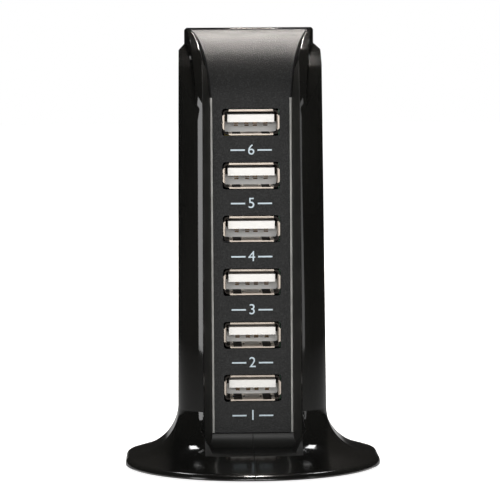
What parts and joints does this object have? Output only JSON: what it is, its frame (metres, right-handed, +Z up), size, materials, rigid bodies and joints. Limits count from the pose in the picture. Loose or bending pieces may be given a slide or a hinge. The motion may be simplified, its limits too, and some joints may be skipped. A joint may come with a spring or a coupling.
{
  "type": "multi port usb desktop charger",
  "caption": "Upright desktop charger: glossy tower on a flared oval foot, with stacked USB-A ports in a satin panel between two fins and a mains inlet behind.",
  "frame": {"origin": "middle of the bounding box on the plane of the feet", "axes": "+X to the right seen from the front, +Y to the back, +Z up; the ports face -Y"},
  "size_m": [0.0612, 0.0592, 0.1048],
  "materials": {
    "gloss_black": "high gloss",
    "satin_grey": "fine satin",
    "base_black": "matte",
    "rubber_black": "matte",
    "screw_steel": "zinc plated",
    "shell_nickel": "nickel plated sheet",
    "tongue_white": "satin",
    "contact_gold": "plated",
    "inlet_black": "satin",
    "pin_nickel": "nickel plated",
    "board_green": "solder mask",
    "fuse_brown": "moulded",
    "film_yellow": "moulded",
    "choke_ferrite": "sintered",
    "core_ferrite": "sintered",
    "winding_tape": "taped",
    "chip_black": "moulded",
    "lead_brown": "insulated",
    "lead_blue": "insulated",
    "sleeve_black": "shrink sleeve",
    "sleeve_green": "shrink sleeve"
  },
  "bodies": {
    "root": {"base_plate": "base_black", "base_screws": "screw_steel", "board_screws": "screw_steel", "bridge_rectifier": "chip_black", "foot_back_left": "rubber_black", "foot_back_right": "rubber_black", "foot_front_left": "rubber_black", "foot_front_right": "rubber_black", "front_panel": "satin_grey", "fuse": "fuse_brown", "housing_left": "gloss_black", "housing_right": "gloss_black", "inlet_pins": "pin_nickel", "line_capacitor": "film_yellow", "line_choke": "choke_ferrite", "live_lead": "lead_brown", "main_board": "board_green", "mains_inlet": "inlet_black", "neutral_lead": "lead_blue", "opto_coupler": "chip_black", "output_capacitor_1": "sleeve_green", "output_capacitor_2": "sleeve_green", "output_rectifier": "chip_black", "reservoir_capacitor_1": "sleeve_black", "reservoir_capacitor_2": "sleeve_black", "switching_chip": "chip_black", "transformer_core": "core_ferrite", "transformer_winding": "winding_tape", "usb_contacts_1": "contact_gold", "usb_contacts_2": "contact_gold", "usb_contacts_3": "contact_gold", "usb_contacts_4": "contact_gold", "usb_contacts_5": "contact_gold", "usb_contacts_6": "contact_gold", "usb_insulator_1": "tongue_white", "usb_insulator_2": "tongue_white", "usb_insulator_3": "tongue_white", "usb_insulator_4": "tongue_white", "usb_insulator_5": "tongue_white", "usb_insulator_6": "tongue_white", "usb_shell_1": "shell_nickel", "usb_shell_2": "shell_nickel", "usb_shell_3": "shell_nickel", "usb_shell_4": "shell_nickel", "usb_shell_5": "shell_nickel", "usb_shell_6": "shell_nickel"}
  },
  "joints": []
}
